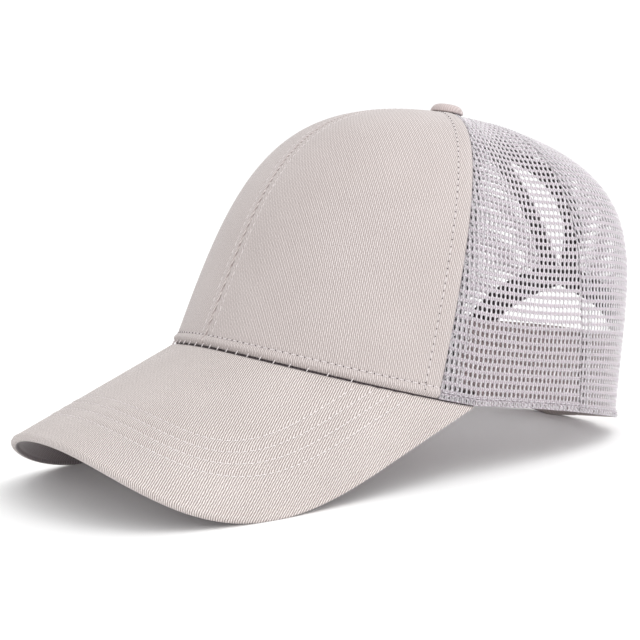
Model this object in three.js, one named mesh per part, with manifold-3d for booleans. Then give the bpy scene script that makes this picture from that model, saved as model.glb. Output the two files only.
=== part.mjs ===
// A ponytail baseball cap: six panels, a curved peak, a sweatband, a taped opening for the hair
// and a back strap.
// Lengths are in millimetres. The wearer's left is +X, the peak points along -Y and +Z is up.
// Every piece is drawn in the cap's own frame, with the rim level. The whole cap is then tipped back
// until it stands on the two lobes of its peak and on its back strap.
import * as THREE from 'three';
import { mergeVertices } from 'three/addons/utils/BufferGeometryUtils.js';
import Module from 'manifold-3d';

const wasm = await Module();
wasm.setup();

const degrees = Math.PI / 180;
const quarterTurn = Math.PI / 2;

// Crown sizes
const crownHalfWidth = 79;
const crownFrontReach = 105.6;
const crownBackReach = 99.7;
const crownDepth = 124.3;
const apexForward = 1.4;
const frontFullness = 2.3;
const backFullness = 2.75;
const rimLift = 8.4;

// Upright sections of the crown. Bulge and shoulderOut are shares of the reach from the apex to the rim,
// rise and shoulderUp are shares of the height from the rim to the apex.
const sections = {
  front: { bulge: -0.146, rise: 0.638, shoulderOut: 0.821, shoulderUp: 0.929 },
  side: { bulge: -0.021, rise: 0.5, shoulderOut: 0.751, shoulderUp: 0.981 },
  rearQuarter: { bulge: -0.068, rise: 0.624, shoulderOut: 1.045, shoulderUp: 0.983 },
  back: { bulge: -0.14, rise: 0.54, shoulderOut: 0.955, shoulderUp: 0.88 },
};

// Seams of the wearer's left half. Angles are counted from the wearer's left towards the back,
// at the rim and at the top, and bow is how far the middle of the seam swings towards the front.
const seams = {
  centreFront: { rim: -90 * degrees, top: -90 * degrees, bow: 0 },
  twillToMesh: { rim: -20.1 * degrees, top: -16.1 * degrees, bow: 0 },
  sideToBack: { rim: 23.1 * degrees, top: 26 * degrees, bow: 5.5 * degrees },
  centreBack: { rim: 90 * degrees, top: 90 * degrees, bow: 0 },
};

// Walls, and how far the middle of a panel lies inside the rounded crown
const twillWall = 1.6;
const meshWall = 1.0;
const meshFlat = 0.6;
const seamGap = 0.3;
const layerGap = 0.6;

// Peak: its sheet is arched across and falls forward along straight lines
const peakDroop = 37.1 * degrees;
const peakArch = 65.7;
const archFullness = 2.2;
const peakLength = 80.6;
const peakSideShare = 0.34;
const peakEdgePower = 2.8;
const peakEdgeRoundness = 2.9;
const peakCornerInset = 0.7;
const peakWall = 3.2;

// Opening for the hair. Places along the back are shares of the way up it, from the rim to the apex.
const archHalfWidth = 46;
const archTop = 0.357;
const archPoint = 1.95;
const crossingShare = 0.05;
const leafHalfWidth = 9.2;
const leafShare = 0.413;
const leafLean = 1.45;
const leafRoundness = 0.52;
const tapeWidth = 11;
const tapeWall = 1.0;
const tapePastLeaf = 0.55;
const tapeLimit = 35 * degrees;
const tapeMargin = 0.02;

// Sweatband and back strap
const sweatbandHeight = 36;
const sweatbandWall = 1.4;
const sweatbandEnd = 42 * degrees;
const strapHeight = 22;
const strapWall = 1.6;
const strapSeat = 8;
const strapReach = 26;
const strapEndRadius = 8;
const strapStep = 16;

// Button on the apex
const buttonRadius = 7.4;
const buttonHeight = 4.3;
const buttonShank = 3;
const buttonRounding = 0.6;
const eyeRadius = 2.5;

// How much cloth is pressed flat where the cap stands
const footFlat = 0.5;

const twillMaterial = new THREE.MeshStandardMaterial({ color: 0xd3c6c3, roughness: 0.9, metalness: 0 });
const meshMaterial = new THREE.MeshStandardMaterial({ color: 0xcfc8d2, roughness: 0.75, metalness: 0 });
const bandMaterial = new THREE.MeshStandardMaterial({ color: 0xb5a5a4, roughness: 0.95, metalness: 0 });
const tapeMaterial = new THREE.MeshStandardMaterial({ color: 0x4c474b, roughness: 0.85, metalness: 0 });

// Finds where a rising quantity reaches nothing, between two values
function rootOf(quantity, low, high) {
  let below = low;
  let above = high;
  for (let pass = 0; pass < 40; pass += 1) {
    const middle = (below + above) / 2;
    if (quantity(middle) < 0) below = middle;
    else above = middle;
  }
  return (below + above) / 2;
}

// Plan of the rim: an oval whose front and back halves have their own reach and fullness
function rimPlan(angle) {
  const atFront = Math.sin(angle) < 0;
  const reach = atFront ? crownFrontReach : crownBackReach;
  const fullness = atFront ? frontFullness : backFullness;
  const across = Math.abs(Math.cos(angle)) ** fullness;
  const along = Math.abs(Math.sin(angle)) ** fullness;
  const swell = (across + along) ** (-1 / fullness);
  return { x: crownHalfWidth * swell * Math.cos(angle), y: reach * swell * Math.sin(angle) };
}

// How far the peak's sheet lies below its crest line, at a distance from the middle plane
function archDrop(x) {
  const share = Math.min(Math.abs(x) / crownHalfWidth, 1);
  return peakArch * (1 - (1 - share ** archFullness) ** (1 / archFullness));
}

// A point of the peak's sheet: x across, out along its straight lines from below the front of the rim
function sheetPoint(x, out) {
  const drop = archDrop(x);
  const y = -crownFrontReach - out * Math.cos(peakDroop) + drop * Math.sin(peakDroop);
  const z = -out * Math.sin(peakDroop) - drop * Math.cos(peakDroop);
  return new THREE.Vector3(x, y, z);
}

// How far out on the sheet a plan point lies
function sheetOut(x, y) {
  return (archDrop(x) * Math.sin(peakDroop) - crownFrontReach - y) / Math.cos(peakDroop);
}

// The rim follows the peak's sheet as far as the peak's corner, then a low curve to the back
const cornerX = crownHalfWidth - peakCornerInset;
const cornerAngle = rootOf((angle) => rimPlan(angle).x - cornerX, -quarterTurn, 0);
const cornerPlan = rimPlan(cornerAngle);
const cornerOut = sheetOut(cornerPlan.x, cornerPlan.y);
const cornerHeight = sheetPoint(cornerPlan.x, cornerOut).z;

function rimHeight(angle) {
  const folded = Math.asin(Math.sin(angle));
  if (folded < cornerAngle) {
    const plan = rimPlan(folded);
    return sheetPoint(plan.x, sheetOut(plan.x, plan.y)).z;
  }
  const share = (folded - cornerAngle) / (quarterTurn - cornerAngle);
  return cornerHeight * (1 - share) ** 2 + 2 * share * (1 - share) * rimLift;
}

// A column of the section table at any angle, changing smoothly from section to section
function sectionShare(column, angle) {
  const turn = Math.sin(angle) ** 2;
  const side = sections.side[column];
  if (Math.sin(angle) < 0) return turn * sections.front[column] + (1 - turn) * side;
  const nearSide = 2 * (turn - 0.5) * (turn - 1);
  const nearQuarter = 4 * turn * (1 - turn);
  const nearBack = 2 * turn * (turn - 0.5);
  return nearSide * side + nearQuarter * sections.rearQuarter[column] + nearBack * sections.back[column];
}

// The rounded crown before its panels are flattened: each upright section is a cubic curve from rim to apex
function crownPoint(angle, up) {
  const plan = rimPlan(angle);
  const foot = rimHeight(angle);
  const down = 1 - up;
  const low = 3 * down * down * up;
  const high = 3 * down * up * up;
  const bulge = 1 + sectionShare('bulge', angle);
  const reach = down ** 3 + low * bulge + high * sectionShare('shoulderOut', angle);
  const climb = low * sectionShare('rise', angle) + high * sectionShare('shoulderUp', angle) + up ** 3;
  const y = -apexForward + (plan.y + apexForward) * reach;
  return new THREE.Vector3(plan.x * reach, y, foot + (crownDepth - foot) * climb);
}

// Directions on the crown: along the rows, up the sections, and out of the cloth
function crownDirections(angle, up) {
  const step = 1e-4;
  const along = crownPoint(angle + step, up).sub(crownPoint(angle - step, up)).divideScalar(2 * step);
  const rise = crownPoint(angle, up + step).sub(crownPoint(angle, up - step)).divideScalar(2 * step);
  const outward = along.clone().cross(rise).normalize();
  return { along, rise, outward };
}

function seamAngle(seam, up) {
  return seam.rim + (seam.top - seam.rim) * up - seam.bow * 4 * up * (1 - up);
}

// How far a mesh panel's middle lies inside the rounded crown, nothing at its seams, its rim and its top
function panelSag(angle, up) {
  const folded = Math.asin(Math.sin(angle));
  const twill = seamAngle(seams.twillToMesh, up);
  const side = seamAngle(seams.sideToBack, up);
  if (folded <= twill) return 0;
  const from = folded < side ? twill : side;
  const to = folded < side ? side : quarterTurn;
  const across = (folded - from) / (to - from);
  return meshFlat * 4 * across * (1 - across) * 4 * up * (1 - up);
}

// A point of the cloth, a depth inside its outer face
function clothPoint(angle, up, depth) {
  const inward = depth + panelSag(angle, up);
  return crownPoint(angle, up).addScaledVector(crownDirections(angle, up).outward, -inward);
}

// The panels end at a small eye round the apex
const topUp = rootOf((up) => eyeRadius - crownPoint(0, up).x, 0.5, 1);

// Where a height above the rim is reached
function upAtHeight(angle, height) {
  return rootOf((up) => crownPoint(angle, up).z - rimHeight(angle) - height, 0, 0.6);
}

// The angle on the back where the crown lies a distance x from the middle plane, on either side of it
function angleAtX(x, up) {
  const angle = rootOf((trial) => Math.abs(x) - crownPoint(trial, up).x, 0, quarterTurn);
  return x < 0 ? Math.PI - angle : angle;
}

// Half the width of the opening: a pointed arch above the strap, and a leaf above the crossing
const archFoot = upAtHeight(quarterTurn, strapHeight);
const leafFoot = archTop + crossingShare;
const leafTip = leafFoot + leafShare;
const tapeTop = THREE.MathUtils.lerp(leafTip, topUp, tapePastLeaf);

function openingHalfWidth(up) {
  const inArch = (up - archFoot) / (archTop - archFoot);
  const inLeaf = (up - leafFoot) / (leafTip - leafFoot);
  if (inArch <= 0) return archHalfWidth;
  if (inArch < 1) return archHalfWidth * (1 - inArch ** archPoint);
  if (inLeaf <= 0 || inLeaf >= 1) return 0;
  return leafHalfWidth * Math.sin(Math.PI * inLeaf ** leafLean) ** leafRoundness;
}

function edgeX(up) {
  return Math.max(openingHalfWidth(up), seamGap / 2);
}

// Numbers from one to another in even steps
function evenSteps(from, to, count) {
  return Array.from({ length: count + 1 }, (unused, index) => from + ((to - from) * index) / count);
}

// The tape's outer edge lies one tape width from the opening's edge, measured over the cloth
const backLine = evenSteps(archFoot, tapeTop, 90).map((up) => ({ up, point: crownPoint(quarterTurn, up) }));
backLine.forEach((place, index) => {
  const before = backLine[Math.max(index - 1, 0)];
  place.length = index === 0 ? 0 : before.length + place.point.distanceTo(before.point);
});

function lengthUpBack(up) {
  const share = ((up - archFoot) / (tapeTop - archFoot)) * (backLine.length - 1);
  const index = THREE.MathUtils.clamp(Math.floor(share), 0, backLine.length - 2);
  return THREE.MathUtils.lerp(backLine[index].length, backLine[index + 1].length, share - index);
}

function tapeOuterX(up) {
  const length = lengthUpBack(up);
  const reaches = backLine.map((place) => {
    const away = Math.min(Math.abs(place.length - length) / tapeWidth, 1);
    return away < 1 ? edgeX(place.up) + tapeWidth * Math.sqrt(1 - away * away) : 0;
  });
  return Math.max(...reaches);
}

// A closed wall: a grid on its outer face, the same grid on its inner face, and strips that join
// their edges.
// side is 1 for the wearer's left or the middle and -1 for its mirror image.
function wallGeometry(columns, rows, outer, inner, side = 1) {
  const positions = [];
  [outer, inner].forEach((face) => {
    rows.forEach((row) => {
      columns.forEach((column) => {
        const point = face(column, row);
        positions.push(point.x * side, point.y, point.z);
      });
    });
  });
  const across = columns.length;
  const layer = across * rows.length;
  const index = [];
  const quad = (a, b, c, d) => {
    if (side > 0) index.push(a, b, c, a, c, d);
    else index.push(a, c, b, a, d, c);
  };
  for (let row = 0; row < rows.length - 1; row += 1) {
    for (let column = 0; column < across - 1; column += 1) {
      const a = row * across + column;
      const b = a + 1;
      const c = b + across;
      const d = a + across;
      quad(a, b, c, d);
      quad(a + layer, d + layer, c + layer, b + layer);
    }
    const left = row * across;
    const right = left + across - 1;
    quad(left, left + across, left + across + layer, left + layer);
    quad(right, right + layer, right + across + layer, right + across);
  }
  for (let column = 0; column < across - 1; column += 1) {
    const top = (rows.length - 1) * across + column;
    quad(column, column + layer, column + 1 + layer, column + 1);
    quad(top, top + 1, top + 1 + layer, top + layer);
  }
  const geometry = new THREE.BufferGeometry();
  geometry.setAttribute('position', new THREE.Float32BufferAttribute(positions, 3));
  geometry.setIndex(index);
  return geometry;
}

// Rows up the cloth, with one at each corner of the opening
const clothRows = [
  ...evenSteps(0, archFoot, 2),
  ...evenSteps(archFoot, archTop, 9).slice(1),
  ...evenSteps(archTop, leafFoot, 2).slice(1),
  ...evenSteps(leafFoot, leafTip, 7).slice(1),
  ...evenSteps(leafTip, topUp, 3).slice(1),
];

// How far an angle moves when a point is drawn back along its row by half the seam gap
function halfGapAngle(angle, up) {
  return seamGap / 2 / crownDirections(angle, up).along.length();
}

// A panel of the crown between two edges, with half the seam gap left at each edge
function panelGeometry(fromEdge, toEdge, wall, columnCount, side) {
  const place = (column, up, depth) => {
    const from = fromEdge(up) + halfGapAngle(fromEdge(up), up);
    const to = toEdge(up) - halfGapAngle(toEdge(up), up);
    return clothPoint(THREE.MathUtils.lerp(from, to, column), up, depth);
  };
  const columns = evenSteps(0, 1, columnCount);
  return wallGeometry(columns, clothRows, (u, v) => place(u, v, 0), (u, v) => place(u, v, wall), side);
}

const alongSeam = (seam) => (up) => seamAngle(seam, up);

// The back panel's inner edge follows the opening, whose width already leaves the seam gap
function openingEdge(up) {
  const angle = angleAtX(edgeX(up), up);
  return angle + halfGapAngle(angle, up);
}

// The tape lies inside the back panel along the opening, from the strap to near the button
function tapeGeometry(side) {
  const rows = clothRows.filter((up) => up >= archFoot && up < tapeTop - tapeMargin).concat(tapeTop);
  const place = (column, row, depth) => {
    const x = THREE.MathUtils.lerp(tapeOuterX(row), edgeX(row), column);
    const angle = angleAtX(Math.min(x, crownPoint(tapeLimit, row).x), row);
    const up = row === archFoot ? upAtHeight(angle, strapHeight + layerGap) : row;
    return clothPoint(angle, up, depth);
  };
  const depth = meshWall + layerGap;
  const columns = evenSteps(0, 1, 4);
  const outer = (u, v) => place(u, v, depth);
  const inner = (u, v) => place(u, v, depth + tapeWall);
  return wallGeometry(columns, rows, outer, inner, side);
}

// The sweatband stands inside the rim, from one side of the opening round the front to the other
function sweatbandGeometry() {
  const place = (angle, row, depth) => clothPoint(angle, row * upAtHeight(angle, sweatbandHeight), depth);
  const depth = twillWall + layerGap;
  const columns = evenSteps(-Math.PI - sweatbandEnd, sweatbandEnd, 64);
  const rows = evenSteps(0, 1, 2);
  const outer = (u, v) => place(u, v, depth);
  const inner = (u, v) => place(u, v, depth + sweatbandWall);
  return wallGeometry(columns, rows, outer, inner);
}

// One tab of the back strap. It runs from under its own panel past the middle, with a rounded end.
// The inner tab steps in by one wall and a gap before it passes behind the other.
function strapGeometry(side, isInner) {
  const innerStep = isInner ? strapWall + layerGap : 0;
  const strapRoot = archHalfWidth + strapSeat;
  const span = strapRoot + strapReach;
  const place = (travel, row, wall) => {
    const x = strapRoot - travel;
    const stepEnd = strapRoot - strapReach;
    const stepped = THREE.MathUtils.smoothstep(travel, stepEnd - strapStep, stepEnd);
    const fromEnd = Math.max(strapEndRadius - (span - travel), 0);
    const rounding = strapEndRadius - Math.sqrt(strapEndRadius ** 2 - fromEnd ** 2);
    const height = THREE.MathUtils.lerp(rounding, strapHeight - rounding, row);
    const nearUp = archFoot * (height / strapHeight);
    const angle = angleAtX(x, nearUp);
    const up = upAtHeight(angle, height);
    return clothPoint(angle, up, meshWall + layerGap + innerStep * stepped + wall);
  };
  const roundPart = evenSteps(0, quarterTurn, 4).slice(1);
  const straight = evenSteps(0, span - strapEndRadius, 16);
  const columns = straight.concat(roundPart.map((turn) => span - strapEndRadius * (1 - Math.sin(turn))));
  const rows = evenSteps(0, 1, 2);
  return wallGeometry(columns, rows, (u, v) => place(u, v, 0), (u, v) => place(u, v, strapWall), side);
}

// The peak's root follows the rim, and its outer edge runs straight forward from each corner
// and then round the front. share is the place across, from -1 to 1.
const peakSpanAngle = Math.asin(cornerX / crownHalfWidth);

function peakX(share) {
  return crownHalfWidth * Math.sin(share * peakSpanAngle);
}

function peakRoot(share) {
  const x = peakX(share);
  const along = (1 - (Math.abs(x) / crownHalfWidth) ** frontFullness) ** (1 / frontFullness);
  return sheetOut(x, -crownFrontReach * along);
}

function peakEdge(share) {
  const round = (1 - Math.abs(share) ** peakEdgePower) ** (1 / peakEdgeRoundness);
  return cornerOut + (peakLength - cornerOut) * (peakSideShare + (1 - peakSideShare) * round);
}

function sheetNormal(x) {
  const step = 1e-3;
  const slope = (archDrop(x + step) - archDrop(x - step)) / (2 * step);
  return new THREE.Vector3(slope, -Math.sin(peakDroop), Math.cos(peakDroop)).normalize();
}

// Rows of the peak stop short of its edge by a share of its thickness, where the edge is rounded
const peakRows = evenSteps(0, 1, 7).map((share) => ({ share, inset: 1, thick: 1 }));
peakRows.push({ share: 1, inset: 0.4, thick: 0.8 });
peakRows.push({ share: 1, inset: 0, thick: 0.4 });

function peakGeometry() {
  const place = (column, row, face) => {
    const x = peakX(column);
    const root = peakRoot(column);
    const edge = peakEdge(column) - (row.inset * peakWall) / 2;
    const depth = (peakWall / 2) * (1 - face * row.thick);
    const point = sheetPoint(x, THREE.MathUtils.lerp(root, edge, row.share));
    point.z -= seamGap;
    return point.addScaledVector(sheetNormal(x), -depth);
  };
  const columns = evenSteps(-quarterTurn, quarterTurn, 48).map((turn) => -Math.sin(turn));
  return wallGeometry(columns, peakRows, (u, v) => place(u, v, 1), (u, v) => place(u, v, -1));
}

// The slope of the crown beside its apex, along one section
function apexSlope(section, reach) {
  return Math.atan(((1 - section.shoulderUp) * crownDepth) / (section.shoulderOut * reach));
}

// The button: a domed disc whose shank fills the eye where the panels meet
function buttonGeometry() {
  const sideSlope = apexSlope(sections.side, crownHalfWidth);
  const skirt = layerGap - buttonRadius * Math.tan(sideSlope);
  const profile = [
    new THREE.Vector2(0, -buttonShank),
    new THREE.Vector2(eyeRadius - layerGap, -buttonShank),
    new THREE.Vector2(eyeRadius - layerGap, layerGap),
    new THREE.Vector2(buttonRadius, skirt),
  ];
  evenSteps(0, quarterTurn, 7).slice(1, -1).forEach((turn) => {
    const radius = buttonRadius * Math.cos(turn) ** buttonRounding;
    profile.push(new THREE.Vector2(radius, skirt + (buttonHeight - skirt) * Math.sin(turn)));
  });
  profile.push(new THREE.Vector2(0, buttonHeight));
  const backLean = apexSlope(sections.back, crownBackReach) - apexSlope(sections.front, crownFrontReach);
  const geometry = new THREE.LatheGeometry(profile, 20);
  geometry.rotateX(quarterTurn - backLean / 2);
  geometry.translate(0, -apexForward, crownDepth);
  return geometry;
}

const buttonPiece = buttonGeometry();
const peakPiece = peakGeometry();
const strapPieces = { left: strapGeometry(1, false), right: strapGeometry(-1, true) };

function pointsOf(geometry) {
  const position = geometry.getAttribute('position');
  const readPoint = (unused, index) => new THREE.Vector3().fromBufferAttribute(position, index);
  return Array.from({ length: position.count }, readPoint);
}

// The cap tips back about the lowest point of its strap until the peak's lobes come down to the same floor
const heightWhenTipped = (point, tip) => point.z * Math.cos(tip) - point.y * Math.sin(tip);
const strapPoints = [...pointsOf(strapPieces.left), ...pointsOf(strapPieces.right)];
const peakPoints = pointsOf(peakPiece);
let restTip = 0;
let floorHeight = 0;
for (let pass = 0; pass < 8; pass += 1) {
  const heel = strapPoints.reduce((lowest, point) => (
    heightWhenTipped(point, restTip) < heightWhenTipped(lowest, restTip) ? point : lowest));
  restTip = Math.max(...peakPoints.map((point) => Math.atan2(heel.z - point.z, heel.y - point.y)));
  floorHeight = heightWhenTipped(heel, restTip) + footFlat;
}

function toManifold(geometry) {
  const bare = geometry.clone();
  bare.deleteAttribute('normal');
  bare.deleteAttribute('uv');
  const merged = mergeVertices(bare, 1e-4);
  const mesh = new wasm.Mesh({
    numProp: 3,
    vertProperties: Float32Array.from(merged.getAttribute('position').array),
    triVerts: Uint32Array.from(merged.getIndex().array),
  });
  return new wasm.Manifold(mesh);
}

// Cloth that would reach below the floor is pressed flat on it
function flattenedAtFloor(geometry) {
  const size = 4 * (crownFrontReach + crownBackReach);
  const ground = new THREE.BoxGeometry(size, size, size);
  ground.translate(0, 0, floorHeight - size / 2);
  ground.rotateX(restTip);
  const cut = toManifold(geometry).subtract(toManifold(ground)).getMesh();
  const flat = new THREE.BufferGeometry();
  flat.setAttribute('position', new THREE.BufferAttribute(cut.vertProperties, 3));
  flat.setIndex(Array.from(cut.triVerts));
  return flat;
}

const cap = new THREE.Group();

function addPiece(name, geometry, material) {
  geometry.computeVertexNormals();
  const piece = new THREE.Mesh(geometry, material);
  piece.name = name;
  cap.add(piece);
}

[['left', 1], ['right', -1]].forEach(([hand, side]) => {
  const front = [alongSeam(seams.centreFront), alongSeam(seams.twillToMesh)];
  const middle = [alongSeam(seams.twillToMesh), alongSeam(seams.sideToBack)];
  const back = [alongSeam(seams.sideToBack), openingEdge];
  addPiece(`front_panel_${hand}`, panelGeometry(...front, twillWall, 12, side), twillMaterial);
  addPiece(`side_mesh_${hand}`, panelGeometry(...middle, meshWall, 7, side), meshMaterial);
  addPiece(`back_mesh_${hand}`, panelGeometry(...back, meshWall, 13, side), meshMaterial);
  addPiece(`opening_tape_${hand}`, tapeGeometry(side), tapeMaterial);
  addPiece(`back_strap_${hand}`, flattenedAtFloor(strapPieces[hand]), twillMaterial);
});
addPiece('sweatband', sweatbandGeometry(), bandMaterial);
addPiece('peak', flattenedAtFloor(peakPiece), twillMaterial);
addPiece('top_button', buttonPiece, twillMaterial);

// The cap stands on the floor at nothing, with the middle of its outline over the origin
cap.rotation.x = -restTip;
cap.updateMatrixWorld(true);
const outline = new THREE.Box3().setFromObject(cap, true);
const middle = outline.getCenter(new THREE.Vector3());
cap.position.set(-middle.x, -middle.y, -outline.min.z);
cap.updateMatrixWorld(true);

export default cap;
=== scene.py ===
import bpy
import numpy as np
from mathutils import Matrix, Vector


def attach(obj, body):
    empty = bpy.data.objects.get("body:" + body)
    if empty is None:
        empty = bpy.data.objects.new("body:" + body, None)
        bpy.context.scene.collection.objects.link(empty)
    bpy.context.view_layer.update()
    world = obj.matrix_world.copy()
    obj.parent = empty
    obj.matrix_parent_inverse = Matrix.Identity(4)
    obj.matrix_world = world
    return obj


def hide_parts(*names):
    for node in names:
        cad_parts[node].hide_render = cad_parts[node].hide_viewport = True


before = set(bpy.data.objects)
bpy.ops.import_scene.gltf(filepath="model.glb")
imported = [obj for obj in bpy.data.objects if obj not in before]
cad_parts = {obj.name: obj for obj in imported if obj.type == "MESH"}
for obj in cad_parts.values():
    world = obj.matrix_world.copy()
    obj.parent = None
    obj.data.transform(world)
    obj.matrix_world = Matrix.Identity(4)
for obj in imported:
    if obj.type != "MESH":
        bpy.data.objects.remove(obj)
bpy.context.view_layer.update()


# The two front panels.
# Cotton twill over a stiff backing, sewn together down the middle of the front, with a stitched fold at
# the foot where the peak is sewn on. The crown's own form is worked out here, and every piece uses it.
degrees = np.pi / 180
crown_half_width, crown_front_reach, crown_back_reach, crown_depth = 79.0, 105.6, 99.7, 124.3
apex_forward, front_fullness, back_fullness, rim_lift = 1.4, 2.3, 2.75, 8.4
sections = {
    "front": dict(bulge=-0.146, rise=0.638, shoulder_out=0.821, shoulder_up=0.929),
    "side": dict(bulge=-0.021, rise=0.5, shoulder_out=0.751, shoulder_up=0.981),
    "rear_quarter": dict(bulge=-0.068, rise=0.624, shoulder_out=1.045, shoulder_up=0.983),
    "back": dict(bulge=-0.14, rise=0.54, shoulder_out=0.955, shoulder_up=0.88),
}
twill_wall, mesh_wall, mesh_flat = 1.6, 1.0, 0.6
seam_gap, layer_gap, eye_radius = 0.3, 0.6, 2.5
peak_droop, peak_arch, arch_fullness, peak_corner_inset = 37.1 * degrees, 65.7, 2.2, 0.7
rest_tip = 16.59956 * degrees
rest_place = np.array([0.0, 36.71379, 27.85151])


def at_rest(points):
    """Cap's own frame, in millimetres, to the resting frame, in metres: a turn about X, then the place."""
    x, y, z = np.moveaxis(np.asarray(points, float), -1, 0)
    turned_y = y * np.cos(rest_tip) + z * np.sin(rest_tip)
    turned_z = z * np.cos(rest_tip) - y * np.sin(rest_tip)
    return (np.stack([x, turned_y, turned_z], -1) + rest_place) / 1000


def root_of(quantity, low, high, passes=36):
    """Halves the span between low and high, arrays of one shape, until a rising quantity is nothing there."""
    for _ in range(passes):
        middle = (low + high) / 2
        below = quantity(middle) < 0
        low, high = np.where(below, middle, low), np.where(below, high, middle)
    return (low + high) / 2


def rim_plan(angle):
    """Plan of the rim: an oval of powers, |x/a|^n + |y/b|^n = 1, with its own b and n in front and behind."""
    front = np.sin(angle) < 0
    reach = np.where(front, crown_front_reach, crown_back_reach)
    fullness = np.where(front, front_fullness, back_fullness)
    swell = (np.abs(np.cos(angle)) ** fullness + np.abs(np.sin(angle)) ** fullness) ** (-1 / fullness)
    return crown_half_width * swell * np.cos(angle), reach * swell * np.sin(angle)


def arch_drop(x):
    """Fall of the peak's sheet from its crest: the arch height times 1 - (1 - |x/a|^n)^(1/n)."""
    share = np.minimum(np.abs(x) / crown_half_width, 1)
    return peak_arch * (1 - (1 - share**arch_fullness) ** (1 / arch_fullness))


def sheet_point(x, out):
    """The peak's sheet: straight lines that fall forward at the droop angle from the arch across."""
    drop = arch_drop(x)
    y = -crown_front_reach - out * np.cos(peak_droop) + drop * np.sin(peak_droop)
    z = -out * np.sin(peak_droop) - drop * np.cos(peak_droop)
    return np.stack([x + 0 * out, y, z], -1)


def sheet_out(x, y):
    """Distance out on the sheet of a plan point, the same straight line solved for out."""
    return (arch_drop(x) * np.sin(peak_droop) - crown_front_reach - y) / np.cos(peak_droop)


peak_half_width = crown_half_width - peak_corner_inset
past_corner = lambda angle: rim_plan(angle)[0] - peak_half_width
corner_angle = root_of(past_corner, np.array(-np.pi / 2), np.array(0.0))
corner_x, corner_y = rim_plan(corner_angle)
corner_out = sheet_out(corner_x, corner_y)
corner_height = sheet_point(corner_x, corner_out)[2]


def rim_height(angle):
    """The rim: on the peak's sheet as far as the corner, then on a parabola that dips towards the back."""
    folded = np.arcsin(np.sin(angle))
    x, y = rim_plan(folded)
    on_sheet = sheet_point(x, sheet_out(x, y))[..., 2]
    share = np.clip((folded - corner_angle) / (np.pi / 2 - corner_angle), 0, 1)
    behind = corner_height * (1 - share) ** 2 + 2 * share * (1 - share) * rim_lift
    return np.where(folded < corner_angle, on_sheet, behind)


def section_share(column, angle):
    """A share of the section table at an angle: in front, side and front weighed by sin squared; behind, the
    parabola in sin squared through side, rear quarter and back."""
    turn = np.sin(angle) ** 2
    front, side, quarter, back = (section[column] for section in sections.values())
    ahead = turn * front + (1 - turn) * side
    behind = 2 * (turn - 0.5) * (turn - 1) * side + 4 * turn * (1 - turn) * quarter
    behind = behind + 2 * turn * (turn - 0.5) * back
    return np.where(np.sin(angle) < 0, ahead, behind)


def unit(vectors):
    """Vectors divided by their own lengths."""
    return vectors / np.linalg.norm(vectors, axis=-1, keepdims=True)


def crown_point(angle, up):
    """The rounded crown: up each section a cubic curve from rim to apex, reach shrinking as height grows."""
    angle, up = np.broadcast_arrays(np.asarray(angle, float), np.asarray(up, float))
    x, y = rim_plan(angle)
    foot, down = rim_height(angle), 1 - up
    low, high = 3 * down**2 * up, 3 * down * up**2
    reach = down**3 + low * (1 + section_share("bulge", angle)) + high * section_share("shoulder_out", angle)
    climb = low * section_share("rise", angle) + high * section_share("shoulder_up", angle) + up**3
    z = foot + (crown_depth - foot) * climb
    return np.stack([x * reach, (y + apex_forward) * reach - apex_forward, z], -1)


def crown_slopes(angle, up, step=1e-4):
    """Change of the crown's point per radian along its row and per share up, and the unit vector outwards."""
    along = (crown_point(angle + step, up) - crown_point(angle - step, up)) / (2 * step)
    rise = (crown_point(angle, up + step) - crown_point(angle, up - step)) / (2 * step)
    return along, rise, unit(np.cross(along, rise))


def seam_angle(seam, up):
    """A seam's angle: a straight change from rim to top, less a bow that is widest halfway up."""
    rim, top, bow = seam
    return (rim + (top - rim) * up - bow * 4 * up * (1 - up)) * degrees


centre_front, twill_to_mesh, side_to_back = (-90, -90, 0), (-20.1, -16.1, 0), (23.1, 26, 5.5)


def panel_sag(angle, up):
    """How far a mesh panel lies inside the round crown: a hump across times a hump up, none at its seams."""
    folded = np.arcsin(np.sin(angle))
    twill, side = seam_angle(twill_to_mesh, up), seam_angle(side_to_back, up)
    start, end = np.where(folded < side, twill, side), np.where(folded < side, side, np.pi / 2)
    across = (folded - start) / (end - start)
    return np.where(folded <= twill, 0, mesh_flat * 4 * across * (1 - across) * 4 * up * (1 - up))


def cloth_point(angle, up, depth=0.0):
    """A point of the cloth, a depth inside its outer face."""
    inward = np.asarray(depth + panel_sag(angle, up))
    return crown_point(angle, up) - crown_slopes(angle, up)[2] * inward[..., None]


top_up = root_of(lambda up: eye_radius - crown_point(0, up)[0], np.array(0.5), np.array(1.0))


def up_at_height(angle, height):
    """The share up a section where the cloth is a height above the rim."""
    angle = np.asarray(angle, float)
    above = lambda up: crown_point(angle, up)[..., 2] - rim_height(angle) - height
    return root_of(above, 0 * angle, 0 * angle + 0.6)


def lengths_along(points, axis):
    """Distance run along a grid of points, from nothing at its first row or column."""
    step = np.linalg.norm(np.diff(points, axis=axis), axis=-1)
    pad = [(0, 0)] * step.ndim
    pad[axis] = (1, 0)
    return np.pad(np.cumsum(step, axis=axis), pad)


def grid_pattern(points):
    """The flat pattern of a grid: the distances run along its rows and up its columns."""
    return np.stack([lengths_along(points, 1), lengths_along(points, 0)], -1)


def grid_quads(rows, columns, start=0, flip=False):
    """Four-sided faces of a grid whose points run along each row in turn."""
    corner = start + np.arange(rows - 1)[:, None] * columns + np.arange(columns - 1)
    quads = np.stack([corner, corner + 1, corner + 1 + columns, corner + columns], -1).reshape(-1, 4)
    return quads[:, ::-1] if flip else quads


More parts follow.
